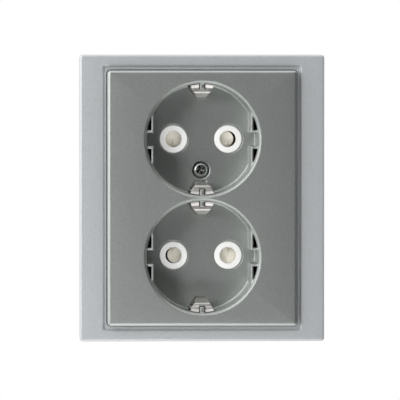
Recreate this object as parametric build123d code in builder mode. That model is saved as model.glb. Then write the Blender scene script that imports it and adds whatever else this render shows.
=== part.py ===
"""Twin earthed wall socket with shutters, made for one flush wall box.

Millimetres. X runs to the right, Z up and Y into the wall. The origin lies on the wall, midway
between the two box screws. A height is measured out of the wall, so height h lies at Y = -h.
"""

import os
from math import sqrt

from build123d import *

# Standard plug interface
pin_pitch = 19.0
pin_hole = 5.5
well_radius = 19.2
well_land = 1.96
well_depth = 17.4
box_screw_spacing = 60.0

# Stack of layers out of the wall
plate_thickness = 1.2
carrier_thickness = 3.8
floor_thickness = 1.8

# Cover
cup_wall = 1.4
cover_side_margin = 12.0
cover_end_margin = 3.07
cover_corner = 1.2
cover_edge = 1.0
face_thickness = 2.0
skirt_wall = 1.5
rim_edge = 0.8
foot_edge = 0.35
edge_slope = 45.0
guide_inset = 2.5
guide_web = 0.75
guide_notch = 4.8
guide_step = 0.9
guide_root = 0.4
post_width = 1.5
post_length = 2.05
post_step = 1.7
cover_rib = 1.2

# Frame
frame_front = 20.8
frame_wall = 2.0
frame_corner = 1.1
frame_edge = 0.8
band_side = 8.4
band_end = 4.0
reveal_side = 1.1
reveal_end = 1.45
reveal_depth = 0.9
opening_corner = 0.6
opening_edge = 0.5
cover_gap = 0.3
rabbet_depth = 3.8
ledge_overlap = 2.3
ledge_thickness = 1.6
band_skin = 2.4
band_rib = 1.4
band_rib_count = 5

# Collars and shutters
collar_diameter = 9.75
collar_rise = 0.15
collar_edge = 0.3
collar_lead = 0.35
blade_half_width = 3.6
blade_half_length = 3.2
blade_rise = 2.5
blade_foot = 0.55
blade_land = 1.0
blade_trim = 0.75
bridge_rise = 1.9
bridge_inner = 2.4
bridge_outer = 1.0
shutter_travel = 6.0
shutter_roof = 1.0
shutter_spring_end = 13.0
shutter_spring_diameter = 1.9
shutter_spring_wire = 0.36
shutter_spring_turns = 5
shutter_spring_corners = 4
spring_peg = 2.0
carrier_wall = 1.6

# Earth path
earth_thickness = 0.7
yoke_half_width = 4.1
yoke_tip_half_width = 1.5
yoke_leg_inset = 1.6
yoke_fold_drop = 2.8
yoke_fold_length = 1.6
yoke_nip_inset = 4.4
yoke_nip_height = 6.2
yoke_end_inset = 3.0
yoke_end_height = 1.7
yoke_bend = 0.75
post_slot_gap = 0.3
earth_rail_half_width = 3.4
earth_rail_end = 4.07
rivet_inset = 4.43
rivet_shank = 2.0
rivet_head = 3.2
rivet_head_rise = 0.6

# Contacts and terminals
base_depth = 22.0
cap_thickness = 3.0
base_wall = 1.6
base_corner = 3.5
base_edge = 0.8
base_wing_depth = 8.0
rail_thickness = 0.8
contact_gap = 4.7
contact_half_width = 2.9
contact_top = 3.0
contact_flare = 0.45
contact_flare_length = 2.2
rail_top = 9.0
terminal_half_width = 5.8
clamp_room = 6.3
clamp_thickness = 0.35
clamp_half_width = 5.3
clamp_front = 7.6
clamp_tip = 0.55
clamp_tip_depth = 14.4
clamp_bend = 1.0
wire_hole = 2.9
wire_offset = 1.55
wire_place = 3.95
wire_funnel = 0.5
release_inner = 1.2
release_outer = 3.4
release_half_width = 1.7
release_travel = 1.6
release_flange = 0.5
release_flange_thickness = 1.0
release_proud = 0.9
release_round = 0.4

# Fasteners
screw_drop = 10.75
cover_screw_shank = 3.0
cover_screw_head = 5.1
cover_screw_head_rise = 1.5
cover_screw_length = 13.5
counterbore_diameter = 5.8
counterbore_depth = 1.1
counterbore_edge = 0.3
insert_diameter = 5.0
insert_length = 8.0
screw_run_out = 2.0
carrier_screw_shank = 2.3
carrier_screw_head = 4.8
carrier_screw_head_rise = 1.6
carrier_screw_length = 11.0
carrier_screw_height = 6.2
carrier_screw_margin = 3.0
head_edge = 0.6
recess_span = 3.4
recess_width = 0.8
recess_depth = 1.0
recess_turn = 18.0
box_slot_diameter = 4.2
box_slot_length = 9.0
plate_margin = 6.0
plate_corner = 5.0
plate_lip = 2.4

# Clearances
seat_gap = 0.3
slide_gap = 0.15
fit_gap = 0.05
hole_gap = 0.35

# Heights out of the wall that follow from the stack
carrier_back = plate_thickness
carrier_front = carrier_back + carrier_thickness
floor_face = carrier_front + floor_thickness
cover_front = floor_face + well_depth
face_back = cover_front - face_thickness
ledge_height = frame_front - rabbet_depth
ledge_back = ledge_height - ledge_thickness
yoke_back = carrier_front - earth_thickness
earth_rail_back = yoke_back - earth_thickness
shutter_foot = carrier_back + slide_gap
blade_roof = carrier_front - shutter_roof
bridge_roof = shutter_foot + bridge_rise + slide_gap
collar_top = floor_face + collar_rise
base_back = -base_depth
chamber_back = base_back + cap_thickness
base_rear = chamber_back + fit_gap
release_top = -clamp_tip_depth - release_travel - seat_gap

# Widths that follow
pin_x = pin_pitch / 2
socket_pitch = 2 * well_radius + well_land
socket_z = socket_pitch / 2
cup_radius = well_radius + cup_wall
cover_width = 2 * (cup_radius + cover_side_margin)
cover_height = socket_pitch + 2 * (cup_radius + cover_end_margin)
opening_width = cover_width + 2 * reveal_side
opening_height = cover_height + 2 * reveal_end
frame_width = opening_width + 2 * band_side
frame_height = opening_height + 2 * band_end
guide_face = well_radius - guide_inset
post_inner = well_radius - post_length
yoke_leg = well_radius - yoke_leg_inset
yoke_nip = well_radius - yoke_nip_inset
yoke_end = well_radius - yoke_end_inset
screw_z = socket_z - screw_drop
rivet_place = screw_z - rivet_inset
earth_rail_half_length = screw_z + earth_rail_end
line_face = pin_x - contact_gap / 2
earth_face = earth_thickness - earth_rail_half_width
rail_back = line_face - rail_thickness
contact_outer = pin_x + contact_gap / 2 + rail_thickness + contact_flare
contact_end = socket_z + contact_half_width
base_half_width = line_face + clamp_room + base_wall
base_half_height = contact_end + seat_gap + base_wall
channel_half_width = blade_half_width + slide_gap
carrier_half_width = pin_x + channel_half_width + carrier_wall
groove_half_length = socket_z + yoke_leg + earth_thickness / 2 + seat_gap
carrier_half_height = groove_half_length + carrier_wall
cup_clearance = cup_radius + carrier_screw_head / 2 + seat_gap
cup_clear_x = sqrt(cup_clearance**2 - (socket_z - carrier_screw_height) ** 2)
carrier_screw_x = max(cup_clear_x, base_half_width + carrier_screw_margin)
wing_half_width = carrier_screw_x + carrier_screw_head / 2 + slide_gap
wing_half_height = carrier_screw_height + carrier_screw_head / 2 + slide_gap
plate_width = box_screw_spacing + 2 * plate_margin
plate_height = 2 * (carrier_half_height + seat_gap + plate_thickness)

upper = 1
lower = -1
sides = (upper, lower)
carrier_screw_places = [
    (side * carrier_screw_x, side * carrier_screw_height) for side in sides
]


def front(height):
    """Plane parallel to the wall at this height, facing the room."""
    return Plane.XZ.offset(height)


def socket_front(side, height):
    """The same plane centred on one socket; the lower one is the upper turned half round."""
    return Plane(origin=(0, -height, side * socket_z), x_dir=(side, 0, 0), z_dir=(0, -1, 0))


def socket_section(side, across=0.0):
    """Upright section through one socket: local x away from the other socket, y out of the wall."""
    origin = (side * across, 0, side * socket_z)
    return Plane(origin=origin, x_dir=(0, 0, side), z_dir=(side, 0, 0))


def pole_section(face, way, place=0.0):
    """Level section through one pole: local x away from its wire face, y out of the wall."""
    return Plane(origin=(face, 0, place), x_dir=(way, 0, 0), z_dir=(0, 0, -way))


def finish(piece, name):
    """Label a finished piece and write it."""
    piece.part.label = name
    export_step(piece.part, f"parts/{name}.step")


os.makedirs("parts", exist_ok=True)


# Frame: a hollow moulding with a bevelled opening, a shallow reveal and a ledge for the cover
with BuildPart() as cover_frame:
    with BuildSketch(front(0)):
        RectangleRounded(frame_width, frame_height, frame_corner)
    extrude(amount=frame_front)
    fillet(cover_frame.faces().sort_by(Axis.Y)[0].edges(), frame_edge)
    with BuildSketch(front(frame_front)):
        RectangleRounded(opening_width, opening_height, opening_corner)
    extrude(amount=-reveal_depth, mode=Mode.SUBTRACT)
    chamfer(cover_frame.faces().sort_by(Axis.Y)[0].inner_wires().edges(), opening_edge)
    with BuildSketch(front(frame_front)):
        pocket_width = cover_width + 2 * cover_gap
        pocket_height = cover_height + 2 * cover_gap
        RectangleRounded(pocket_width, pocket_height, cover_corner + cover_gap)
    extrude(amount=-rabbet_depth, mode=Mode.SUBTRACT)
    with BuildSketch(front(0)):
        Rectangle(cover_width - 2 * ledge_overlap, cover_height - 2 * ledge_overlap)
    extrude(amount=ledge_height, mode=Mode.SUBTRACT)
    with BuildSketch(front(0)):
        Rectangle(frame_width - 2 * frame_wall, frame_height - 2 * frame_wall)
    extrude(amount=ledge_back, mode=Mode.SUBTRACT)
    relief_width = band_side - frame_wall - ledge_thickness
    relief_x = frame_width / 2 - frame_wall - relief_width / 2
    relief_pitch = (frame_height - 2 * frame_wall) / band_rib_count
    with BuildSketch(front(ledge_back)):
        with GridLocations(2 * relief_x, relief_pitch, 2, band_rib_count):
            Rectangle(relief_width, relief_pitch - band_rib)
    extrude(amount=frame_front - band_skin - ledge_back, mode=Mode.SUBTRACT)
finish(cover_frame, "cover_frame")


# Cover: face, skirt and two wells in one moulding
with BuildPart() as socket_cover:
    with BuildSketch(front(ledge_height)):
        RectangleRounded(cover_width, cover_height, cover_corner)
    extrude(amount=cover_front - ledge_height)
    fillet(socket_cover.faces().sort_by(Axis.Y)[0].edges(), cover_edge)
    with BuildSketch(front(ledge_height)):
        Rectangle(cover_width - 2 * skirt_wall, cover_height - 2 * skirt_wall)
    extrude(amount=face_back - ledge_height, mode=Mode.SUBTRACT)
    with BuildSketch(front(carrier_front)):
        with GridLocations(0, socket_pitch, 1, 2):
            Circle(cup_radius)
    extrude(amount=face_back - carrier_front)
    rib_run = cover_side_margin - skirt_wall + cup_wall / 2
    rib_x = cover_width / 2 - skirt_wall - rib_run / 2
    with BuildSketch(front(ledge_height)):
        with GridLocations(2 * rib_x, socket_pitch, 2, 2):
            Rectangle(rib_run, cover_rib)
    extrude(amount=face_back - ledge_height)
    with BuildSketch(front(cover_front)):
        with GridLocations(0, socket_pitch, 1, 2):
            Circle(well_radius)
    extrude(amount=foot_edge - well_depth, mode=Mode.SUBTRACT)
    with BuildSketch(front(floor_face + foot_edge)):
        with GridLocations(0, socket_pitch, 1, 2):
            Circle(well_radius)
    extrude(amount=-foot_edge, taper=edge_slope, mode=Mode.SUBTRACT)
    with BuildSketch(front(cover_front)):
        with GridLocations(0, socket_pitch, 1, 2):
            Circle(well_radius + rim_edge)
    extrude(amount=-rim_edge, taper=edge_slope, mode=Mode.SUBTRACT)
    for side in sides:
        root_radius = well_radius + guide_root
        with BuildSketch(socket_front(side, floor_face)):
            Circle(root_radius)
            Rectangle(2 * guide_face, 2 * root_radius, mode=Mode.SUBTRACT)
            Rectangle(2 * root_radius, guide_notch, mode=Mode.SUBTRACT)
            pocket_x = guide_face + guide_web
            pocket_z = guide_notch / 2 + guide_web
            with GridLocations(2 * pocket_x + root_radius, 2 * pocket_z + root_radius, 2, 2):
                Rectangle(root_radius, root_radius, mode=Mode.SUBTRACT)
        extrude(amount=well_depth - guide_step)
        with BuildSketch(socket_front(side, floor_face)):
            Circle(root_radius)
            Rectangle(post_width, 2 * root_radius, mode=Mode.INTERSECT)
            Rectangle(post_width, 2 * post_inner, mode=Mode.SUBTRACT)
        extrude(amount=well_depth - post_step)
        with BuildSketch(socket_front(side, carrier_front)):
            with GridLocations(pin_pitch, 0, 2, 1):
                Circle(collar_diameter / 2 + hole_gap / 2)
            slot_inner = yoke_nip - earth_thickness / 2 - slide_gap
            slot_outer = yoke_leg + earth_thickness / 2 + hole_gap
            for way in sides:
                Polygon(
                    (-yoke_tip_half_width - hole_gap, way * slot_inner),
                    (yoke_tip_half_width + hole_gap, way * slot_inner),
                    (yoke_half_width + hole_gap, way * slot_outer),
                    (-yoke_half_width - hole_gap, way * slot_outer),
                    align=None,
                )
        extrude(amount=floor_thickness, mode=Mode.SUBTRACT)
    with BuildSketch(front(carrier_front)):
        with Locations((0, screw_z)):
            Circle(cover_screw_shank / 2 + hole_gap)
    extrude(amount=floor_thickness, mode=Mode.SUBTRACT)
    with BuildSketch(front(floor_face)):
        with Locations((0, screw_z)):
            Circle(counterbore_diameter / 2)
    extrude(amount=-counterbore_depth, mode=Mode.SUBTRACT)
    with BuildSketch(front(floor_face)):
        with Locations((0, screw_z)):
            Circle(counterbore_diameter / 2 + counterbore_edge)
    extrude(amount=-counterbore_edge, taper=edge_slope, mode=Mode.SUBTRACT)
finish(socket_cover, "socket_cover")


# Support plate: sheet steel with folded ends, a cut-out for the base and box screw slots
with BuildPart() as support_plate:
    with BuildSketch(front(0)):
        RectangleRounded(plate_width, plate_height, plate_corner)
        cutout_width = 2 * (base_half_width + seat_gap)
        cutout_height = 2 * (base_half_height + seat_gap)
        RectangleRounded(cutout_width, cutout_height, base_corner + seat_gap, mode=Mode.SUBTRACT)
        with GridLocations(box_screw_spacing, 0, 2, 1):
            SlotOverall(box_slot_length, box_slot_diameter, mode=Mode.SUBTRACT)
        with Locations(carrier_screw_places):
            Circle(carrier_screw_shank / 2 + hole_gap, mode=Mode.SUBTRACT)
    extrude(amount=plate_thickness)
    lip_z = plate_height / 2 - plate_thickness / 2
    with BuildSketch(front(plate_thickness)):
        with GridLocations(0, 2 * lip_z, 1, 2):
            Rectangle(plate_width - 2 * plate_corner, plate_thickness)
    extrude(amount=plate_lip)
finish(support_plate, "support_plate")


# Carrier: white moulding with the four collars, the shutter channels and the earth groove
with BuildPart() as contact_carrier:
    with BuildSketch(front(carrier_back)):
        Rectangle(2 * carrier_half_width, 2 * carrier_half_height)
        Rectangle(2 * wing_half_width, 2 * wing_half_height)
    extrude(amount=carrier_thickness)
    fillet(contact_carrier.edges().filter_by(Axis.Y), carrier_wall)
    with BuildSketch(front(carrier_front)):
        with GridLocations(pin_pitch, socket_pitch, 2, 2):
            Circle(collar_diameter / 2)
    extrude(amount=collar_top - carrier_front)
    chamfer(contact_carrier.faces().group_by(Axis.Y)[0].edges(), collar_edge)
    with BuildSketch(front(carrier_back)):
        with GridLocations(pin_pitch, socket_pitch, 2, 2):
            Circle(pin_hole / 2)
    extrude(amount=collar_top - carrier_back, mode=Mode.SUBTRACT)
    mouths = contact_carrier.edges().filter_by(GeomType.CIRCLE).group_by(Axis.Y)[0]
    chamfer(mouths.filter_by(lambda edge: edge.radius < collar_diameter / 3), collar_lead)
    with BuildSketch(front(yoke_back)):
        Rectangle(2 * (yoke_half_width + seat_gap), 2 * groove_half_length)
    extrude(amount=earth_thickness, mode=Mode.SUBTRACT)
    with BuildSketch(front(earth_rail_back)):
        Rectangle(
            2 * (earth_rail_half_width + slide_gap), 2 * (earth_rail_half_length + slide_gap)
        )
    extrude(amount=earth_thickness, mode=Mode.SUBTRACT)
    with BuildSketch(front(earth_rail_back)):
        with GridLocations(0, 2 * rivet_place, 1, 2):
            Circle(rivet_head / 2 + slide_gap)
    extrude(amount=-rivet_head_rise - slide_gap, mode=Mode.SUBTRACT)
    with BuildSketch(front(carrier_back)):
        tail_low = earth_face - earth_thickness - slide_gap
        tail_high = earth_face + yoke_bend
        with Locations(((tail_low + tail_high) / 2, 0)):
            Rectangle(tail_high - tail_low, 2 * terminal_half_width)
        with Locations((0, screw_z)):
            Circle(cover_screw_shank / 2 + hole_gap)
        with Locations(carrier_screw_places):
            Circle(carrier_screw_shank / 2 + hole_gap)
    extrude(amount=carrier_thickness, mode=Mode.SUBTRACT)
    for side in sides:
        channel_inner = -blade_half_length - slide_gap
        channel_outer = blade_half_length + shutter_travel + slide_gap
        with BuildSketch(socket_front(side, carrier_back)):
            with Locations((0, (channel_inner + channel_outer) / 2)):
                with GridLocations(pin_pitch, 0, 2, 1):
                    Rectangle(2 * channel_half_width, channel_outer - channel_inner)
        extrude(amount=blade_roof - carrier_back, mode=Mode.SUBTRACT)
        with BuildSketch(socket_front(side, carrier_back)):
            bridge_low = -bridge_inner - slide_gap
            bridge_high = bridge_outer + shutter_travel + slide_gap
            with Locations((0, (bridge_low + bridge_high) / 2)):
                Rectangle(pin_pitch, bridge_high - bridge_low)
            with Locations((0, shutter_spring_end / 2)):
                Rectangle(shutter_spring_diameter + 2 * seat_gap, shutter_spring_end)
        extrude(amount=bridge_roof - carrier_back, mode=Mode.SUBTRACT)
finish(contact_carrier, "contact_carrier")


def make_shutter(side):
    """Slider with two ramped blades, a low bridge between them and a peg for its spring."""
    with BuildPart() as shutter:
        for way in sides:
            with BuildSketch(socket_section(side, way * pin_x)):
                Polygon(
                    (-blade_half_length, shutter_foot),
                    (blade_half_length, shutter_foot),
                    (blade_half_length, shutter_foot + blade_rise),
                    (blade_half_length - blade_land, shutter_foot + blade_rise),
                    (-blade_half_length, shutter_foot + blade_foot),
                    align=None,
                )
            extrude(amount=blade_half_width, both=True)
        with BuildSketch(socket_front(side, shutter_foot)):
            with Locations((0, (bridge_outer - bridge_inner) / 2)):
                Rectangle(pin_pitch, bridge_outer + bridge_inner)
        extrude(amount=bridge_rise)
        peg_origin = (0, -shutter_foot - bridge_rise / 2, side * (socket_z + bridge_outer))
        with BuildSketch(Plane(origin=peg_origin, z_dir=(0, 0, side))):
            Circle(shutter_spring_diameter / 2 - shutter_spring_wire - slide_gap)
        extrude(amount=spring_peg)
        end_x = pin_x - blade_trim
        with BuildSketch(socket_front(side, shutter_foot)):
            with Locations((end_x + blade_half_width, 0)):
                Rectangle(2 * blade_half_width, 2 * blade_half_length)
            with Locations((end_x, 0)):
                Circle(pin_hole / 2, mode=Mode.SUBTRACT)
        extrude(amount=blade_rise, mode=Mode.SUBTRACT)
    return shutter


def make_shutter_spring(side):
    """Coil spring between the shutter's bridge and the end of its channel."""
    coil_radius = (shutter_spring_diameter - shutter_spring_wire) / 2
    coil_height = shutter_foot + bridge_rise / 2
    coil_start = bridge_outer + shutter_spring_wire / 2
    coil_length = shutter_spring_end - bridge_outer - shutter_spring_wire
    with BuildPart() as spring:
        with BuildLine():
            coil = Helix(
                pitch=coil_length / shutter_spring_turns,
                height=coil_length,
                radius=coil_radius,
                center=(0, -coil_height, side * (socket_z + coil_start)),
                direction=(0, 0, side),
            )
        with BuildSketch(Plane(origin=coil @ 0, z_dir=coil % 0)):
            RegularPolygon(shutter_spring_wire / 2, shutter_spring_corners)
        sweep(path=coil)
    return spring


for side, name in ((upper, "upper_shutter"), (lower, "lower_shutter")):
    finish(make_shutter(side), name)
    finish(make_shutter_spring(side), f"{name}_spring")


def make_earth_yoke(side):
    """Bent strip across one socket whose two ends rise into the well as sprung earth clips."""
    strip_height = carrier_front - earth_thickness / 2
    fold_height = cover_front - yoke_fold_drop
    half = [
        (yoke_leg, strip_height),
        (yoke_leg, fold_height),
        (yoke_leg - yoke_fold_length, fold_height),
        (yoke_nip, floor_face + yoke_nip_height),
        (yoke_end, floor_face + yoke_end_height),
    ]
    other_half = [(-across, height) for across, height in reversed(half)]
    tip = yoke_nip - earth_thickness / 2
    leg = yoke_leg + earth_thickness / 2
    with BuildPart() as yoke:
        with BuildSketch(socket_section(side)):
            with BuildLine():
                FilletPolyline(*other_half, *half, radius=yoke_bend)
            trace(line_width=earth_thickness)
        extrude(amount=yoke_half_width, both=True)
        with BuildSketch(socket_front(side, carrier_front)):
            for end in sides:
                for hand in sides:
                    Polygon(
                        (hand * yoke_half_width, end * leg),
                        (hand * yoke_tip_half_width, end * tip),
                        (hand * 2 * yoke_half_width, end * tip),
                        (hand * 2 * yoke_half_width, end * leg),
                        align=None,
                    )
        extrude(amount=cover_front - carrier_front, mode=Mode.SUBTRACT)
        with BuildSketch(socket_front(side, floor_face - post_slot_gap)):
            Rectangle(post_width + 2 * post_slot_gap, 2 * leg)
            Rectangle(2 * yoke_half_width, 2 * (post_inner - post_slot_gap), mode=Mode.SUBTRACT)
        extrude(amount=well_depth, mode=Mode.SUBTRACT)
        with BuildSketch(socket_front(side, yoke_back)):
            with Locations((0, -screw_drop)):
                Circle(cover_screw_shank / 2 + hole_gap)
            with Locations((0, rivet_place - socket_z)):
                Circle(rivet_shank / 2 + fit_gap)
        extrude(amount=earth_thickness, mode=Mode.SUBTRACT)
    return yoke


for side, name in ((upper, "upper_earth_yoke"), (lower, "lower_earth_yoke")):
    finish(make_earth_yoke(side), name)


# Earth rail: plate under both yokes whose tail is bent back to the earth terminal
with BuildPart() as earth_rail:
    rail_height = earth_rail_back + earth_thickness / 2
    with BuildSketch(pole_section(earth_face, 1)):
        with BuildLine():
            FilletPolyline(
                (earth_rail_half_width - earth_face, rail_height),
                (-earth_thickness / 2, rail_height),
                (-earth_thickness / 2, chamber_back),
                radius=yoke_bend,
            )
        trace(line_width=earth_thickness)
    extrude(amount=clamp_half_width, both=True)
    with BuildSketch(front(earth_rail_back)):
        Rectangle(2 * earth_rail_half_width, 2 * earth_rail_half_length)
        Rectangle(2 * earth_rail_half_width, 2 * clamp_half_width, mode=Mode.SUBTRACT)
    extrude(amount=earth_thickness)
    with BuildSketch(front(earth_rail_back)):
        with GridLocations(0, 2 * screw_z, 1, 2):
            Circle(cover_screw_shank / 2 + hole_gap)
        with GridLocations(0, 2 * rivet_place, 1, 2):
            Circle(rivet_shank / 2 + fit_gap)
    extrude(amount=earth_thickness, mode=Mode.SUBTRACT)
finish(earth_rail, "earth_rail")


# Two rivets, flush in front, that join the yokes to the earth rail
with BuildPart() as earth_rivets:
    with BuildSketch(front(earth_rail_back)):
        with GridLocations(0, 2 * rivet_place, 1, 2):
            Circle(rivet_shank / 2)
    extrude(amount=carrier_front - earth_rail_back)
    with BuildSketch(front(earth_rail_back)):
        with GridLocations(0, 2 * rivet_place, 1, 2):
            Circle(rivet_head / 2)
    extrude(amount=-rivet_head_rise)
finish(earth_rivets, "earth_rivets")


# Base: insulating block in the wall box with a chamber for every clip and terminal
with BuildPart() as contact_base:
    with BuildSketch(front(base_rear)):
        RectangleRounded(2 * base_half_width, 2 * base_half_height, base_corner)
    extrude(amount=carrier_back - base_rear)
    with BuildSketch(front(-base_wing_depth)):
        Rectangle(2 * wing_half_width, 2 * wing_half_height)
    extrude(amount=base_wing_depth)
    with BuildSketch(front(base_rear)):
        for way in sides:
            slot_low = rail_back - slide_gap
            slot_high = line_face + slide_gap
            with Locations((way * (slot_low + slot_high) / 2, 0)):
                Rectangle(slot_high - slot_low, 2 * contact_end)
            terminal_high = line_face + clamp_room
            with Locations((way * (slot_low + terminal_high) / 2, 0)):
                Rectangle(terminal_high - slot_low, 2 * terminal_half_width)
            clip_low = rail_back - contact_flare - seat_gap
            clip_high = contact_outer + seat_gap
            with Locations((way * (clip_low + clip_high) / 2, 0)):
                with GridLocations(0, socket_pitch, 1, 2):
                    Rectangle(clip_high - clip_low, 2 * (contact_half_width + seat_gap))
        earth_low = earth_face - earth_thickness - slide_gap
        earth_high = earth_face + clamp_room
        with Locations(((earth_low + earth_high) / 2, 0)):
            Rectangle(earth_high - earth_low, 2 * terminal_half_width)
    extrude(amount=carrier_back - base_rear, mode=Mode.SUBTRACT)
    with BuildSketch(front(carrier_back)):
        with Locations((0, screw_z)):
            Circle(insert_diameter / 2 + fit_gap)
    extrude(amount=-insert_length, mode=Mode.SUBTRACT)
    with BuildSketch(front(carrier_back - insert_length)):
        with Locations((0, screw_z)):
            Circle(cover_screw_shank / 2 + hole_gap)
    extrude(amount=-screw_run_out, mode=Mode.SUBTRACT)
    with BuildSketch(front(0)):
        with Locations(carrier_screw_places):
            Circle(carrier_screw_shank / 2 + fit_gap)
    extrude(amount=carrier_front - carrier_screw_length - seat_gap, mode=Mode.SUBTRACT)
finish(contact_base, "contact_base")


# Rear cap: closes the chambers, with the wire holes and the slots of the release buttons
poles = (("neutral", line_face, 1), ("line", -line_face, -1), ("earth", earth_face, 1))
with BuildPart() as terminal_cap:
    with BuildSketch(front(base_back)):
        RectangleRounded(2 * base_half_width, 2 * base_half_height, base_corner)
    extrude(amount=cap_thickness)
    chamfer(terminal_cap.faces().sort_by(Axis.Y)[-1].edges(), base_edge)
    with BuildSketch(front(base_back)):
        for pole, face, way in poles:
            with Locations((face + way * wire_offset, 0)):
                with GridLocations(0, 2 * wire_place, 1, 2):
                    Circle(wire_hole / 2)
            with Locations((face + way * (release_inner + release_outer) / 2, 0)):
                Rectangle(
                    release_outer - release_inner + 2 * slide_gap,
                    2 * (release_half_width + slide_gap),
                )
    extrude(amount=cap_thickness, mode=Mode.SUBTRACT)
    mouths = terminal_cap.edges().filter_by(GeomType.CIRCLE).group_by(Axis.Y)[-1]
    chamfer(mouths.filter_by(lambda edge: edge.radius < wire_hole), wire_funnel)
finish(terminal_cap, "terminal_cap")


def make_pole_rail(way):
    """Brass strip on edge with a flared pin clip at each end."""
    leaf = -rail_thickness / 2
    other_leaf = contact_gap + rail_thickness / 2
    bottom = chamber_back + rail_thickness / 2
    flare_foot = -contact_top - contact_flare_length
    with BuildPart() as rail:
        for place in (socket_z, -socket_z):
            with BuildSketch(pole_section(way * line_face, way, place)):
                with BuildLine():
                    FilletPolyline(
                        (leaf - contact_flare, -contact_top),
                        (leaf, flare_foot),
                        (leaf, bottom),
                        (other_leaf, bottom),
                        (other_leaf, flare_foot),
                        (other_leaf + contact_flare, -contact_top),
                        radius=rail_thickness,
                    )
                trace(line_width=rail_thickness)
            extrude(amount=contact_half_width, both=True)
        with BuildSketch(front(chamber_back + rail_thickness)):
            with Locations((way * (line_face - rail_thickness / 2), 0)):
                Rectangle(rail_thickness, socket_pitch)
        extrude(amount=-rail_top - chamber_back - rail_thickness)
    return rail


for name, way in (("neutral_rail", 1), ("line_rail", -1)):
    finish(make_pole_rail(way), name)


def make_clamp(face, way):
    """Leaf spring folded over so that its free leg grips a wire against the pole's rail."""
    back_leg = clamp_room - slide_gap - clamp_thickness / 2
    with BuildPart() as clamp:
        with BuildSketch(pole_section(face, way)):
            with BuildLine():
                FilletPolyline(
                    (back_leg, chamber_back),
                    (back_leg, -clamp_front),
                    (clamp_tip + clamp_thickness / 2, -clamp_tip_depth),
                    radius=clamp_bend,
                )
            trace(line_width=clamp_thickness)
        extrude(amount=clamp_half_width, both=True)
    return clamp


def make_release(face, way):
    """Push button between two wire holes, kept in by a flange inside the base."""
    middle = face + way * (release_inner + release_outer) / 2
    width = release_outer - release_inner
    with BuildPart() as release:
        with BuildSketch(front(base_back - release_proud)):
            with Locations((middle, 0)):
                Rectangle(width, 2 * release_half_width)
        extrude(amount=release_top - base_back + release_proud)
        fillet(release.faces().sort_by(Axis.Y)[-1].edges(), release_round)
        with BuildSketch(front(chamber_back)):
            with Locations((middle, 0)):
                Rectangle(
                    width + 2 * release_flange, 2 * (release_half_width + release_flange)
                )
        extrude(amount=release_flange_thickness)
    return release


for pole, face, way in poles:
    finish(make_clamp(face, way), f"{pole}_clamp")
    finish(make_release(face, way), f"{pole}_release")


# Threaded insert for the cover screw
with BuildPart() as cover_insert:
    with BuildSketch(front(carrier_back)):
        with Locations((0, screw_z)):
            Circle(insert_diameter / 2)
            Circle(cover_screw_shank / 2 + fit_gap, mode=Mode.SUBTRACT)
    extrude(amount=-insert_length)
finish(cover_insert, "cover_insert")


def make_screws(places, seat, shank, length, head, head_rise):
    """Pan-head screws with a cross recess, one solid for each place."""
    with BuildPart() as screws:
        with BuildSketch(front(seat)):
            with Locations(places):
                Circle(head / 2)
        extrude(amount=head_rise)
        chamfer(screws.faces().group_by(Axis.Y)[0].edges(), head_edge)
        with BuildSketch(front(seat)):
            with Locations(places):
                Circle(shank / 2)
        extrude(amount=-length)
        with BuildSketch(front(seat + head_rise)):
            with Locations(places):
                Rectangle(recess_span, recess_width, rotation=recess_turn)
                Rectangle(recess_width, recess_span, rotation=recess_turn)
        extrude(amount=-recess_depth, mode=Mode.SUBTRACT)
    return screws


cover_screw_seat = floor_face - counterbore_depth
cover_screw = make_screws(
    [(0, screw_z)],
    cover_screw_seat,
    cover_screw_shank,
    cover_screw_length,
    cover_screw_head,
    cover_screw_head_rise,
)
finish(cover_screw, "cover_screw")
carrier_screws = make_screws(
    carrier_screw_places,
    carrier_front,
    carrier_screw_shank,
    carrier_screw_length,
    carrier_screw_head,
    carrier_screw_head_rise,
)
finish(carrier_screws, "carrier_screws")
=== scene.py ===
"""Finishes, screws, springs, earth clips and a photo studio for a twin wall socket."""

import math

import bmesh
import bpy
from bpy.props import FloatProperty, FloatVectorProperty, IntProperty, PointerProperty
from mathutils import Matrix, Vector


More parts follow.
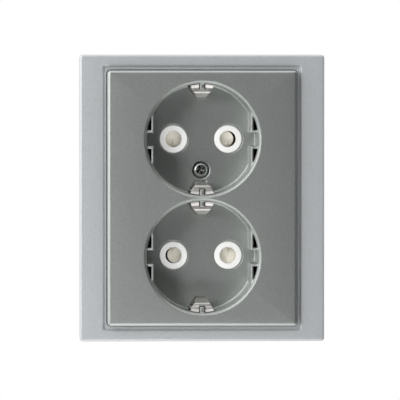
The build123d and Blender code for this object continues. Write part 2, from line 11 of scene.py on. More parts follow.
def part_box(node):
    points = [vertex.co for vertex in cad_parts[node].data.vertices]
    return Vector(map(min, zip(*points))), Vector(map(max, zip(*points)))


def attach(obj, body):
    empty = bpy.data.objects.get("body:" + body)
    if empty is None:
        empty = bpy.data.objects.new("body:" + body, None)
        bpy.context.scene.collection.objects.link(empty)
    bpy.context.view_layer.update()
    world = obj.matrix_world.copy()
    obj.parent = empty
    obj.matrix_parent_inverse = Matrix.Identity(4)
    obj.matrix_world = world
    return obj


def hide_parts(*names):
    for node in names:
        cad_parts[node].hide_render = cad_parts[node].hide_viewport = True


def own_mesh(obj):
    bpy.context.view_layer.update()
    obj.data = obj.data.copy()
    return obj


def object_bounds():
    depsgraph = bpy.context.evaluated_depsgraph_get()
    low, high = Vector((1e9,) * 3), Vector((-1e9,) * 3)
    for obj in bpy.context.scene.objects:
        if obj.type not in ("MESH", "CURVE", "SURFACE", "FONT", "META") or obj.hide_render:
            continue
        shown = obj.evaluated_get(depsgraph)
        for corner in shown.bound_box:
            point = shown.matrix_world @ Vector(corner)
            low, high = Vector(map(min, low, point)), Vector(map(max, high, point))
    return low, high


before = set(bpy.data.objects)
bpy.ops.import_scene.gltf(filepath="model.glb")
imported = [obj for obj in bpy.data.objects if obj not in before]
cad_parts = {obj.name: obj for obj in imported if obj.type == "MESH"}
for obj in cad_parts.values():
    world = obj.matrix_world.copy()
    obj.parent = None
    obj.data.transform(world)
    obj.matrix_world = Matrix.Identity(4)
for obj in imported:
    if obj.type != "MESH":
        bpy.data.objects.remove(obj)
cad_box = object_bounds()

bl_info = {
    "name": "Twin Wall Socket",
    "version": (1, 0, 0),
    "blender": (4, 5, 0),
    "location": "View3D > Sidebar > Socket",
    "description": "Dresses the parts of a twin wall socket and lights them",
    "category": "Object",
}

MM = 0.001


# Settings


def tone(name, description, default):
    """Colour setting, scene linear."""
    return FloatVectorProperty(
        name=name, description=description, default=default, subtype="COLOR", min=0.0, max=1.0
    )


def length(name, description, default):
    """Length setting in metres."""
    return FloatProperty(
        name=name, description=description, default=default, unit="LENGTH", precision=5
    )


def turn(name, description, degrees):
    """Angle setting, kept in radians."""
    return FloatProperty(
        name=name, description=description, default=math.radians(degrees), unit="ROTATION"
    )


def power(name, description, default):
    """Lamp power in watts."""
    return FloatProperty(name=name, description=description, default=default, unit="POWER", min=0.0)


class SocketFinishes(bpy.types.PropertyGroup):
    """Colours and surface grain of the socket's materials."""

    frame_silver: tone("Frame", "Light silver lacquer of the frame", (0.565, 0.585, 0.6))
    cover_silver: tone("Cover", "Darker silver lacquer of the cover", (0.544, 0.57, 0.552))
    collar_white: tone("Carrier", "White plastic of carrier and collars", (0.83, 0.83, 0.81))
    shutter_cream: tone("Shutters", "Cream plastic of the shutters", (0.80, 0.76, 0.66))
    base_grey: tone("Base", "Grey plastic of the base and its cap", (0.30, 0.31, 0.32))
    release_orange: tone("Releases", "Orange plastic of the release buttons", (0.62, 0.28, 0.08))
    nickel: tone("Nickel", "Nickel plate of the earth path", (0.70, 0.68, 0.655))
    zinc: tone("Zinc", "Zinc plate of screws and support plate", (0.62, 0.64, 0.65))
    brass: tone("Brass", "Bare brass of the pin clips", (0.78, 0.60, 0.28))
    spring_steel: tone("Spring steel", "Steel of clamps and shutter springs", (0.56, 0.56, 0.55))
    flake_size: length("Flake size", "Size of one flake in the lacquer", 0.12 * MM)
    grain_size: length("Grain size", "Size of the moulded plastics' grain", 0.35 * MM)


class SocketDetails(bpy.types.PropertyGroup):
    """Sizes of the screws, the earth clips' ears and the springs."""

    head_rise: length("Head rise", "Height of the cover screw's head", 1.5 * MM)
    shank_radius: length("Shank radius", "Core radius of the cover screw's thread", 1.2 * MM)
    thread_depth: length("Thread depth", "Depth of the cover screw's thread", 0.3 * MM)
    thread_pitch: length("Thread pitch", "Rise of the cover screw's thread in one turn", 0.7 * MM)
    recess_span: length("Recess span", "Span of the cross recess", 3.0 * MM)
    recess_width: length("Recess width", "Width of the cross recess's arms", 0.95 * MM)
    recess_depth: length("Recess depth", "Depth of the cross recess", 1.8 * MM)
    recess_turn: turn("Recess turn", "Turn of the cross recess", 25.0)
    carrier_head: length("Carrier screw head", "Head radius of the carrier screws", 2.4 * MM)
    carrier_rise: length("Carrier head rise", "Height of the carrier screws' heads", 1.6 * MM)
    carrier_shank: length("Carrier shank", "Core radius of the carrier screws' thread", 0.9 * MM)
    carrier_thread: length("Carrier thread", "Depth of the carrier screws' thread", 0.25 * MM)
    carrier_pitch: length("Carrier pitch", "Rise of the carrier screws' thread", 0.8 * MM)
    well_radius: length("Well radius", "Radius of the wall that the earth clips lean on", 19.2 * MM)
    ear_gap: length("Ear gap", "Room between a clip's ears and the wall", 0.2 * MM)
    ear_inset: length("Ear inset", "From the middle of a clip to its ears", 1.05 * MM)
    ear_rise: length("Ear rise", "How far a clip's ears flare above its fold", 0.7 * MM)
    ear_thickness: length("Ear thickness", "Thickness of a clip's ears", 0.4 * MM)
    spring_wire: length("Spring wire", "Wire diameter of the shutter springs", 0.36 * MM)
    shutter_travel: length("Shutter travel", "How far a shutter shortens its spring", 6.03 * MM)
    spring_turns: IntProperty(name="Spring turns", description="Turns of each spring", default=9)


class SocketStudio(bpy.types.PropertyGroup):
    """Camera, lamps, room and floor."""

    camera_distance: length("Camera distance", "From the cover's face to the camera", 1.4)
    camera_swing: turn("Camera swing", "How far the camera stands to the left", 2.1)
    camera_tilt: turn("Camera tilt", "How far the camera stands above", 1.4)
    camera_lens: FloatProperty(
        name="Camera lens", description="Focal length", default=367.5, unit="CAMERA"
    )
    aim_x: length("Aim across", "Where the camera looks, to the right", -0.86 * MM)
    aim_z: length("Aim height", "Where the camera looks, upwards", -0.56 * MM)
    key_power: power("Key", "Large soft box at the left", 4.5)
    high_power: power("High", "Large soft box at the upper left", 3.1)
    near_power: power("Near", "Small soft box close by below", 0.21)
    left_power: power("Left", "Edge light from the left", 0.1)
    room_light: FloatProperty(
        name="Room light", description="Level of the soft light from all around", default=1.35
    )
    floor_drop: length("Floor drop", "Gap between the socket and the floor", 60 * MM)


# Shader node groups


def add_node(tree, kind, inputs=None, **settings):
    """New node with its settings and its input values or links."""
    made = tree.nodes.new(kind)
    for key, value in settings.items():
        setattr(made, key, value)
    for key, value in (inputs or {}).items():
        if isinstance(value, bpy.types.NodeSocket):
            tree.links.new(value, made.inputs[key])
        else:
            made.inputs[key].default_value = value
    return made


def new_group(name, inputs, outputs):
    """Empty shader node group with named sockets."""
    tree = bpy.data.node_groups.new(name, "ShaderNodeTree")
    for label, kind in inputs:
        tree.interface.new_socket(label, in_out="INPUT", socket_type=kind)
    for label, kind in outputs:
        tree.interface.new_socket(label, in_out="OUTPUT", socket_type=kind)
    return tree, tree.nodes.new("NodeGroupInput").outputs, tree.nodes.new("NodeGroupOutput").inputs


FLOAT, TINT = "NodeSocketFloat", "NodeSocketColor"
SURFACE = [("Color", TINT), ("Roughness", FLOAT), ("Height", FLOAT)]

# Scales of the soft patches in each effect, in waves a metre
LACQUER_CLOUD = 90.0
PLASTIC_CLOUD = 160.0
ZINC_CAST = 220.0
STRIP_STAIN = 300.0

# Reach of the painted shade that darkens the zinc's recesses
PAINTED_SHADE_REACH = 1.2 * MM
RELIEF_HEIGHT = 0.02 * MM
EDGE_SAMPLES = 6


def spread(tree, value, low, high):
    """Map a 0 to 1 value onto a range."""
    return add_node(
        tree, "ShaderNodeMapRange", {"Value": value, "To Min": low, "To Max": high}, clamp=False
    ).outputs["Result"]


def shaded(tree, tint, factor):
    """Colour times a factor."""
    return add_node(
        tree, "ShaderNodeVectorMath", {0: tint, "Scale": factor}, operation="SCALE"
    ).outputs["Vector"]


def combine(tree, first, second, operation="ADD"):
    """Arithmetic on two values."""
    return add_node(tree, "ShaderNodeMath", {0: first, 1: second}, operation=operation).outputs[0]


def place_of(tree):
    """The piece's own coordinates."""
    return add_node(tree, "ShaderNodeTexCoord").outputs["Object"]


def make_lacquer_flake():
    """Metal flakes of slightly different brightness under a satin varnish, with faint clouding."""
    tree, given, out = new_group(
        "Lacquer Flake",
        [("Color", TINT), ("Scale", FLOAT), ("Contrast", FLOAT), ("Roughness", FLOAT)],
        SURFACE,
    )
    where = place_of(tree)
    flake = add_node(tree, "ShaderNodeTexVoronoi", {"Vector": where, "Scale": given["Scale"]})
    spark = add_node(tree, "ShaderNodeSeparateColor", {"Color": flake.outputs["Color"]}).outputs[0]
    cloud = add_node(
        tree, "ShaderNodeTexNoise", {"Vector": where, "Scale": LACQUER_CLOUD, "Detail": 3.0}
    ).outputs[0]
    dull = combine(tree, 1.0, given["Contrast"], "SUBTRACT")
    bright = combine(tree, 1.0, given["Contrast"])
    level = combine(
        tree, spread(tree, spark, dull, bright), spread(tree, cloud, 0.97, 1.03), "MULTIPLY"
    )
    tree.links.new(shaded(tree, given["Color"], level), out["Color"])
    rough = combine(tree, given["Roughness"], spread(tree, spark, -0.05, 0.05))
    tree.links.new(rough, out["Roughness"])
    tree.links.new(combine(tree, spark, cloud), out["Height"])


def make_moulded_grain():
    """Fine spark-eroded grain of moulded plastic with slight mottling."""
    tree, given, out = new_group(
        "Moulded Grain", [("Color", TINT), ("Scale", FLOAT), ("Roughness", FLOAT)], SURFACE
    )
    where = place_of(tree)
    grain = add_node(
        tree, "ShaderNodeTexNoise", {"Vector": where, "Scale": given["Scale"], "Detail": 4.0}
    ).outputs[0]
    cloud = add_node(
        tree, "ShaderNodeTexNoise", {"Vector": where, "Scale": PLASTIC_CLOUD, "Detail": 2.0}
    ).outputs[0]
    level = combine(
        tree, spread(tree, grain, 0.97, 1.03), spread(tree, cloud, 0.96, 1.04), "MULTIPLY"
    )
    tree.links.new(shaded(tree, given["Color"], level), out["Color"])
    rough = combine(tree, given["Roughness"], spread(tree, grain, -0.08, 0.08))
    tree.links.new(rough, out["Roughness"])
    tree.links.new(grain, out["Height"])


def make_rolled_strip():
    """Drawn lines of rolled and bent strip metal, with faint tarnish."""
    tree, given, out = new_group(
        "Rolled Strip",
        [("Color", TINT), ("Lines", "NodeSocketVector"), ("Tarnish", FLOAT), ("Roughness", FLOAT)],
        SURFACE,
    )
    where = place_of(tree)
    drawn = add_node(
        tree, "ShaderNodeVectorMath", {0: where, 1: given["Lines"]}, operation="MULTIPLY"
    ).outputs["Vector"]
    line = add_node(
        tree, "ShaderNodeTexNoise", {"Vector": drawn, "Scale": 1.0, "Detail": 5.0}
    ).outputs[0]
    stain = add_node(
        tree, "ShaderNodeTexNoise", {"Vector": where, "Scale": STRIP_STAIN, "Detail": 3.0}
    ).outputs[0]
    dark = combine(tree, 1.0, given["Tarnish"], "SUBTRACT")
    level = combine(
        tree, spread(tree, line, 0.9, 1.1), spread(tree, stain, 1.05, dark), "MULTIPLY"
    )
    tree.links.new(shaded(tree, given["Color"], level), out["Color"])
    rough = combine(tree, given["Roughness"], spread(tree, line, -0.12, 0.12))
    tree.links.new(rough, out["Roughness"])
    tree.links.new(line, out["Height"])


def make_zinc_bloom():
    """Passivated zinc: pale crystals with a bluish and a yellowish cast, and painted shade that
    darkens its nooks.
    """
    tree, given, out = new_group(
        "Zinc Bloom", [("Color", TINT), ("Scale", FLOAT), ("Roughness", FLOAT)], SURFACE
    )
    where = place_of(tree)
    crystal = add_node(tree, "ShaderNodeTexVoronoi", {"Vector": where, "Scale": given["Scale"]})
    level = add_node(
        tree, "ShaderNodeSeparateColor", {"Color": crystal.outputs["Color"]}
    ).outputs[0]
    cast = add_node(
        tree, "ShaderNodeTexNoise", {"Vector": where, "Scale": ZINC_CAST, "Detail": 3.0}
    ).outputs[0]
    ramp = add_node(tree, "ShaderNodeValToRGB", {"Fac": cast})
    ramp.color_ramp.elements[0].position = 0.35
    ramp.color_ramp.elements[0].color = (0.93, 0.97, 1.0, 1.0)
    ramp.color_ramp.elements[1].position = 0.65
    ramp.color_ramp.elements[1].color = (1.0, 0.97, 0.88, 1.0)
    tinted = add_node(
        tree,
        "ShaderNodeVectorMath",
        {0: given["Color"], 1: ramp.outputs["Color"]},
        operation="MULTIPLY",
    ).outputs["Vector"]
    # Painted shade: ambient occlusion darkens the colour in recesses such as the cross recess
    nook = add_node(
        tree, "ShaderNodeAmbientOcclusion", {"Distance": PAINTED_SHADE_REACH}, samples=EDGE_SAMPLES
    )
    open_share = add_node(
        tree,
        "ShaderNodeMapRange",
        {
            "Value": nook.outputs["AO"],
            "From Min": 0.35,
            "From Max": 0.8,
            "To Min": 0.06,
            "To Max": 1.0,
        },
    ).outputs["Result"]
    # Real crystal tone times the painted shade of the recesses
    crystal_and_shade = combine(tree, spread(tree, level, 0.9, 1.08), open_share, "MULTIPLY")
    tree.links.new(shaded(tree, tinted, crystal_and_shade), out["Color"])
    rough = combine(tree, given["Roughness"], spread(tree, level, -0.08, 0.1))
    tree.links.new(rough, out["Roughness"])
    tree.links.new(level, out["Height"])


GROUPS = {
    "Lacquer Flake": make_lacquer_flake,
    "Moulded Grain": make_moulded_grain,
    "Rolled Strip": make_rolled_strip,
    "Zinc Bloom": make_zinc_bloom,
}


def finish_material(name, effect, values, bump=0.1, edge=0.25 * MM, metallic=0.0):
    """Principled material with a shared effect's colour, roughness and bump, and soft edges."""
    if name in bpy.data.materials:
        return bpy.data.materials[name]
    material = bpy.data.materials.new(name)
    material.use_nodes = True
    tree = material.node_tree
    shader = tree.nodes["Principled BSDF"]
    if effect not in bpy.data.node_groups:
        GROUPS[effect]()
    look = add_node(tree, "ShaderNodeGroup", node_tree=bpy.data.node_groups[effect])
    for key, value in values.items():
        look.inputs[key].default_value = value
    rounded = add_node(tree, "ShaderNodeBevel", {"Radius": edge}, samples=EDGE_SAMPLES)
    relief = add_node(
        tree,
        "ShaderNodeBump",
        {
            "Height": look.outputs["Height"],
            "Strength": bump,
            "Distance": RELIEF_HEIGHT,
            "Normal": rounded.outputs["Normal"],
        },
    )
    tree.links.new(look.outputs["Color"], shader.inputs["Base Color"])
    tree.links.new(look.outputs["Roughness"], shader.inputs["Roughness"])
    tree.links.new(relief.outputs["Normal"], shader.inputs["Normal"])
    shader.inputs["Metallic"].default_value = metallic
    return material


def opaque(rgb):
    """Colour with full alpha."""
    return (*rgb, 1.0)


# Smooth shading of the CAD pieces

CAD_WELD = 0.001 * MM
FACET_ANGLE = 30.0
SHUTTER_FACET_ANGLE = 20.0


def soft_edge_tree():
    """Geometry nodes that join the loose triangles and shade them smooth up to an edge angle."""
    name = "Soft Edges"
    if name in bpy.data.node_groups:
        return bpy.data.node_groups[name]
    tree = bpy.data.node_groups.new(name, "GeometryNodeTree")
    tree.interface.new_socket("Mesh", in_out="INPUT", socket_type="NodeSocketGeometry")
    tree.interface.new_socket("Angle", in_out="INPUT", socket_type="NodeSocketFloat")
    tree.interface.new_socket("Mesh", in_out="OUTPUT", socket_type="NodeSocketGeometry")
    given = tree.nodes.new("NodeGroupInput").outputs
    out = tree.nodes.new("NodeGroupOutput").inputs
    joined = add_node(
        tree, "GeometryNodeMergeByDistance", {"Geometry": given["Mesh"], "Distance": CAD_WELD}
    ).outputs["Geometry"]
    bend = add_node(tree, "GeometryNodeInputMeshEdgeAngle").outputs["Unsigned Angle"]
    gentle = add_node(
        tree,
        "FunctionNodeCompare",
        {0: bend, 1: given["Angle"]},
        data_type="FLOAT",
        operation="LESS_EQUAL",
    ).outputs["Result"]
    rounded = add_node(
        tree,
        "GeometryNodeSetShadeSmooth",
        {"Geometry": joined, "Shade Smooth": True},
        domain="FACE",
    ).outputs["Geometry"]
    creased = add_node(
        tree,
        "GeometryNodeSetShadeSmooth",
        {"Geometry": rounded, "Shade Smooth": gentle},
        domain="EDGE",
    ).outputs["Geometry"]
    tree.links.new(creased, out["Mesh"])
    return tree


def dress(name, material, smooth_angle=FACET_ANGLE):
    """Give a CAD piece its material and smooth shading."""
    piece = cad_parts[name]
    piece.data.materials.clear()
    piece.data.materials.append(material)
    soften = piece.modifiers.new("Soft edges", "NODES")
    soften.node_group = soft_edge_tree()
    angle_key = soften.node_group.interface.items_tree["Angle"].identifier
    soften[angle_key] = math.radians(smooth_angle)


# Pieces made here

WELD = 0.0005 * MM
THREAD_WELD = 0.002 * MM
CREASE_ANGLE = 40.0
HEAD_STEPS = 48
DOME_STEPS = 6
DOME_SHARE = 0.6
HEAD_EDGE = 0.08 * MM
RECESS_MARGIN = 1.08
RECESS_TAPER = 0.72
THREAD_STEPS = 24
# Shares of the thread's depth and pitch along one turn of its ridge
THREAD_RIDGE = ((0, 0), (0, 0.25), (1, 0.55), (1, 0.7), (0, 1))
# How far an ear's root lies inside the clip's fold, narrows from the wall and sinks below the fold
EAR_ROOT = 0.75 * MM
EAR_TAPER = 0.6 * MM
EAR_SINK = 0.08 * MM
EAR_STEPS = 6
COIL_STEPS = 20
WIRE_SIDES = 10


def finished_piece(bm, name, material, body, slot, *nodes):
    """Turn a bmesh into an object that stands for CAD nodes."""
    bmesh.ops.remove_doubles(bm, verts=bm.verts[:], dist=WELD)
    bmesh.ops.recalc_face_normals(bm, faces=bm.faces[:])
    mesh = bpy.data.meshes.new(name)
    bm.to_mesh(mesh)
    bm.free()
    mesh.shade_smooth()
    piece = bpy.data.objects.new(name, mesh)
    bpy.context.scene.collection.objects.link(piece)
    mesh.materials.append(material)
    mesh.set_sharp_from_angle(angle=math.radians(CREASE_ANGLE))
    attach(piece, body)
    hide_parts(*nodes)
    return piece


def chain(bm, points):
    """Open chain of edges through the points."""
    verts = [bm.verts.new(p) for p in points]
    edges = [bm.edges.new(pair) for pair in zip(verts, verts[1:])]
    return verts, edges


def open_edges(bm):
    """Edges with a single face."""
    return [edge for edge in bm.edges if len(edge.link_faces) == 1]


def turned_head(head_radius, head_rise, details):
    """Domed screw head with a tapered cross recess; the seat lies at height 0."""
    bm = bmesh.new()
    flat = details.recess_span / 2 * RECESS_MARGIN
    outline = [(flat, 0, head_rise)]
    drop = head_rise * DOME_SHARE
    for index in range(1, DOME_STEPS + 1):
        bend = index / DOME_STEPS * math.pi / 2
        out = flat + (head_radius - flat) * math.sin(bend)
        outline.append((out, 0, head_rise - drop * (1 - math.cos(bend))))
    outline += [(head_radius, 0, HEAD_EDGE), (head_radius - HEAD_EDGE, 0, 0), (0, 0, 0)]
    verts, edges = chain(bm, outline)
    bmesh.ops.spin(
        bm,
        geom=verts + edges,
        axis=(0, 0, 1),
        cent=(0, 0, 0),
        steps=HEAD_STEPS,
        angle=2 * math.pi,
        use_merge=True,
    )
    bmesh.ops.remove_doubles(bm, verts=bm.verts[:], dist=WELD)
    rim = open_edges(bm)
    span, arm = details.recess_span / 2, details.recess_width / 2
    corner = [(span, arm), (arm, arm), (arm, span), (-arm, span), (-arm, arm), (-span, arm)]
    corner += [(-x, -y) for x, y in corner]
    mouth = [bm.verts.new((x, y, head_rise)) for x, y in corner]
    mouth_edges = [bm.edges.new(pair) for pair in zip(mouth, mouth[1:] + mouth[:1])]
    bmesh.ops.subdivide_edges(bm, edges=mouth_edges, cuts=HEAD_STEPS // len(corner) - 1)
    mouth_edges = [edge for edge in bm.edges if not edge.link_faces]
    bmesh.ops.bridge_loops(bm, edges=rim + mouth_edges)
    wall = bmesh.ops.extrude_edge_only(bm, edges=open_edges(bm))
    floor = [item for item in wall["geom"] if isinstance(item, bmesh.types.BMVert)]
    bmesh.ops.scale(bm, verts=floor, vec=(RECESS_TAPER, RECESS_TAPER, 1.0))
    bmesh.ops.translate(bm, verts=floor, vec=(0, 0, -details.recess_depth))
    bmesh.ops.holes_fill(bm, edges=open_edges(bm))
    spin_recess = Matrix.Rotation(details.recess_turn, 4, "Z")
    bmesh.ops.transform(bm, matrix=spin_recess, verts=bm.verts[:])
    return bm


def add_thread(bm, start, end, core, depth, pitch):
    """Threaded shank from one height down to another, as one wound ribbon with closed ends."""
    before = set(bm.verts)
    ridge = [(core + out * depth, 0, end + rise * pitch) for out, rise in THREAD_RIDGE]
    verts, edges = chain(bm, ridge)
    count = int((start - end) / pitch * THREAD_STEPS)
    bmesh.ops.spin(
        bm,
        geom=verts + edges,
        axis=(0, 0, 1),
        cent=(0, 0, 0),
        dvec=(0, 0, pitch / THREAD_STEPS),
        steps=count,
        angle=count / THREAD_STEPS * 2 * math.pi,
    )
    made = [vert for vert in bm.verts if vert not in before]
    bmesh.ops.remove_doubles(bm, verts=made, dist=THREAD_WELD)
    bmesh.ops.holes_fill(bm, edges=open_edges(bm))


def add_screw(bm, screw, place):
    """Copy a screw's mesh to its place, with its head towards the room."""
    upright = Matrix.Translation(place) @ Matrix.Rotation(math.pi / 2, 4, "X")
    mesh = bpy.data.meshes.new("screw")
    screw.to_mesh(mesh)
    mesh.transform(upright)
    bm.from_mesh(mesh)
    bpy.data.meshes.remove(mesh)


def add_ear(bm, low, high, end, hand, details):
    """Ear of an earth clip that flares from its fold to the wall of the well, beside the post."""
    middle = (low.z + high.z) / 2
    root = (high.z - low.z) / 2 - EAR_ROOT
    root_end, wall_end = high.x - EAR_TAPER, high.x
    wall = details.well_radius - details.ear_gap
    made = bmesh.ops.create_grid(bm, x_segments=EAR_STEPS, y_segments=EAR_STEPS, size=0.5)["verts"]
    for vert in made:
        along, out = vert.co.x + 0.5, vert.co.y + 0.5
        at_root = details.ear_inset + along * (root_end - details.ear_inset)
        at_wall = details.ear_inset + along * (wall_end - details.ear_inset)
        reach = root + out * (math.sqrt(wall**2 - at_wall**2) - root)
        height = -low.y - EAR_SINK + details.ear_rise * out**2
        across = at_root + out * (at_wall - at_root)
        vert.co = (hand * across, -height, middle + end * reach)
    faces = list({face for vert in made for face in vert.link_faces})
    under = bmesh.ops.extrude_face_region(bm, geom=faces, use_keep_orig=True)["geom"]
    under = [item for item in under if isinstance(item, bmesh.types.BMVert)]
    bmesh.ops.translate(bm, verts=under, vec=(0, details.ear_thickness, 0))


# Operators


class SOCKET_OT_shells(bpy.types.Operator):
    """Silver lacquer on the frame and the cover"""

    bl_idname = "socket.shells"
    bl_label = "Frame and Cover"

    def execute(self, context):
        look = context.scene.socket_finishes
        flake = 1 / look.flake_size
        frame_lacquer = finish_material(
            "Frame Lacquer",
            "Lacquer Flake",
            {
                "Color": opaque(look.frame_silver),
                "Scale": flake,
                "Contrast": 0.12,
                "Roughness": 0.44,
            },
            metallic=0.7,
            edge=0.4 * MM,
        )
        cover_lacquer = finish_material(
            "Cover Lacquer",
            "Lacquer Flake",
            {
                "Color": opaque(look.cover_silver),
                "Scale": flake,
                "Contrast": 0.14,
                "Roughness": 0.42,
            },
            metallic=0.97,
            edge=0.7 * MM,
        )
        dress("cover_frame", frame_lacquer)
        dress("socket_cover", cover_lacquer)
        return {"FINISHED"}


class SOCKET_OT_carrier(bpy.types.Operator):
    """White carrier with the collars, and the cream shutters"""

    bl_idname = "socket.carrier"
    bl_label = "Carrier and Shutters"

    def execute(self, context):
        look = context.scene.socket_finishes
        grain = 1 / look.grain_size
        white = finish_material(
            "Collar Plastic",
            "Moulded Grain",
            {"Color": opaque(look.collar_white), "Scale": grain, "Roughness": 0.38},
        )
        cream = finish_material(
            "Shutter Plastic",
            "Moulded Grain",
            {"Color": opaque(look.shutter_cream), "Scale": grain, "Roughness": 0.45},
        )
        dress("contact_carrier", white)
        dress("upper_shutter", cream, SHUTTER_FACET_ANGLE)
        dress("lower_shutter", cream, SHUTTER_FACET_ANGLE)
        return {"FINISHED"}


class SOCKET_OT_earth_path(bpy.types.Operator):
    """Nickelled earth yokes with ears at their clips, their rail and rivets"""

    bl_idname = "socket.earth_path"
    bl_label = "Earth Path"

    def execute(self, context):
        look = context.scene.socket_finishes
        nickel = finish_material(
            "Nickel Strip",
            "Rolled Strip",
            {
                "Color": opaque(look.nickel),
                "Lines": (5000.0, 120.0, 120.0),
                "Tarnish": 0.08,
                "Roughness": 0.42,
            },
            metallic=1.0,
        )
        for name in ("earth_rail", "earth_rivets"):
            dress(name, nickel)
        for name in ("upper_earth_yoke", "lower_earth_yoke"):
            low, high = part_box(name)
            strip = bmesh.new()
            strip.from_mesh(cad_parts[name].data)
            for end in (1, -1):
                for hand in (1, -1):
                    add_ear(strip, low, high, end, hand, context.scene.socket_details)
            finished_piece(strip, f"{name}_eared", nickel, "housing", "nickel", name)
        return {"FINISHED"}


class SOCKET_OT_contacts(bpy.types.Operator):
    """Brass rails with the pin clips, the threaded insert and the steel clamps"""

    bl_idname = "socket.contacts"
    bl_label = "Contacts and Clamps"

    def execute(self, context):
        look = context.scene.socket_finishes
        brass = finish_material(
            "Brass Strip",
            "Rolled Strip",
            {
                "Color": opaque(look.brass),
                "Lines": (120.0, 5000.0, 120.0),
                "Tarnish": 0.2,
                "Roughness": 0.32,
            },
            metallic=1.0,
        )
        steel = finish_material(
            "Spring Steel",
            "Rolled Strip",
            {
                "Color": opaque(look.spring_steel),
                "Lines": (120.0, 120.0, 6000.0),
                "Tarnish": 0.1,
                "Roughness": 0.3,
            },
            metallic=1.0,
        )
        for name in ("line_rail", "neutral_rail", "cover_insert"):
            dress(name, brass)
        for name in ("line_clamp", "neutral_clamp", "earth_clamp"):
            dress(name, steel)
        return {"FINISHED"}


class SOCKET_OT_base(bpy.types.Operator):
    """Grey base with its rear cap and the release buttons"""

    bl_idname = "socket.base"
    bl_label = "Base and Releases"

    def execute(self, context):
        look = context.scene.socket_finishes
        grain = 1 / look.grain_size
        grey = finish_material(
            "Base Plastic",
            "Moulded Grain",
            {"Color": opaque(look.base_grey), "Scale": grain, "Roughness": 0.5},
            bump=0.25,
        )
        orange = finish_material(
            "Release Plastic",
            "Moulded Grain",
            {"Color": opaque(look.release_orange), "Scale": grain, "Roughness": 0.42},
        )
        for name in ("contact_base", "terminal_cap"):
            dress(name, grey)
        for name in ("line_release", "neutral_release", "earth_release"):
            dress(name, orange)
        return {"FINISHED"}


def zinc_material(context):
    """Bright zinc plate, shared by the plate and the screws."""
    look = context.scene.socket_finishes
    return finish_material(
        "Zinc Plate",
        "Zinc Bloom",
        {"Color": opaque(look.zinc), "Scale": 7000.0, "Roughness": 0.24},
        bump=0.03,
        edge=0.15 * MM,
        metallic=1.0,
    )


class SOCKET_OT_plate(bpy.types.Operator):
    """Zinc-plated support plate"""

    bl_idname = "socket.plate"
    bl_label = "Support Plate"

    def execute(self, context):
        dress("support_plate", zinc_material(context))
        return {"FINISHED"}


class SOCKET_OT_screws(bpy.types.Operator):
    """Cover screw and carrier screws with cross recesses and threads"""

    bl_idname = "socket.screws"
    bl_label = "Screws"

    def execute(self, context):
        details = context.scene.socket_details
        zinc = zinc_material(context)
        low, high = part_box("cover_screw")
        head_radius = (high.x - low.x) / 2
        seat = -low.y - details.head_rise
        screw = turned_head(head_radius, details.head_rise, details)
        add_thread(
            screw,
            0.0,
            -high.y - seat,
            details.shank_radius,
            details.thread_depth,
            details.thread_pitch,
        )
        one = bmesh.new()
        add_screw(one, screw, ((low.x + high.x) / 2, -seat, (low.z + high.z) / 2))
        screw.free()
        finished_piece(one, "cover_screw_turned", zinc, "housing", "zinc_steel", "cover_screw")
        low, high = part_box("carrier_screws")
        head = details.carrier_head
        across, up = high.x - head, high.z - head
        seat = -low.y - details.carrier_rise
        screw = turned_head(head, details.carrier_rise, details)
        add_thread(
            screw,
            0.0,
            -high.y - seat,
            details.carrier_shank,
            details.carrier_thread,
            details.carrier_pitch,
        )
        pair = bmesh.new()
        for side in (1, -1):
            add_screw(pair, screw, (side * across, -seat, side * up))
        screw.free()
        finished_piece(
            pair, "carrier_screws_turned", zinc, "housing", "zinc_steel", "carrier_screws"
        )
        return {"FINISHED"}


class SOCKET_OT_springs(bpy.types.Operator):
    """Wound shutter springs"""

    bl_idname = "socket.springs"
    bl_label = "Shutter Springs"

    def execute(self, context):
        details = context.scene.socket_details
        look = context.scene.socket_finishes
        steel = finish_material(
            "Spring Wire",
            "Rolled Strip",
            {
                "Color": opaque(look.spring_steel),
                "Lines": (900.0, 900.0, 900.0),
                "Tarnish": 0.1,
                "Roughness": 0.28,
            },
            metallic=1.0,
        )
        wire = details.spring_wire
        steps = details.spring_turns * COIL_STEPS
        for name, way in (("upper_shutter", 1), ("lower_shutter", -1)):
            low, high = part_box(f"{name}_spring")
            centre = (low + high) / 2
            coil_radius = (high.x - low.x - wire) / 2
            rise = (high.z - low.z - wire) / steps
            bm = bmesh.new()
            made = bmesh.ops.create_circle(bm, segments=WIRE_SIDES, radius=wire / 2)
            start = Vector((centre.x + coil_radius, centre.y, low.z + wire / 2))
            stand = Matrix.Translation(start) @ Matrix.Rotation(math.pi / 2, 4, "X")
            bmesh.ops.transform(bm, matrix=stand, verts=made["verts"])
            bmesh.ops.spin(
                bm,
                geom=bm.verts[:] + bm.edges[:],
                cent=centre,
                axis=(0, 0, 1),
                dvec=(0, 0, rise),
                steps=steps,
                angle=details.spring_turns * 2 * math.pi,
            )
            bmesh.ops.holes_fill(bm, edges=open_edges(bm))
            node = f"{name}_spring"
            spring = finished_piece(bm, f"{node}_wound", steel, "housing", "spring_steel", node)
            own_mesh(spring)
        return {"FINISHED"}


# Studio

# Dark flags: name, place and span in metres
FLAGS = (
    ("camera_side_flag", (0.0, -1.9, 0.0), 3.0),
    ("right_flag", (1.2, -0.3, 0.0), 2.4),
)
# Lamps: name, power setting, degrees off the socket's axis, degrees round it, distance and size
LAMPS = (
    ("key_box", "key_power", 36, 162, 1.4, 0.4),
    ("high_box", "high_power", 56, 130, 1.4, 0.6),
    ("near_box", "near_power", 38, 262, 0.38, 0.12),
    ("left_strip", "left_power", 86, 180, 0.6, 0.3),
)
FLOOR_RADIUS = 0.14
FLOOR_STEPS = 64
FLOOR_FADE_START = 0.35
FLOOR_GREY = 0.75
FLAG_GREY = 0.03
SENSOR_WIDTH = 36.0


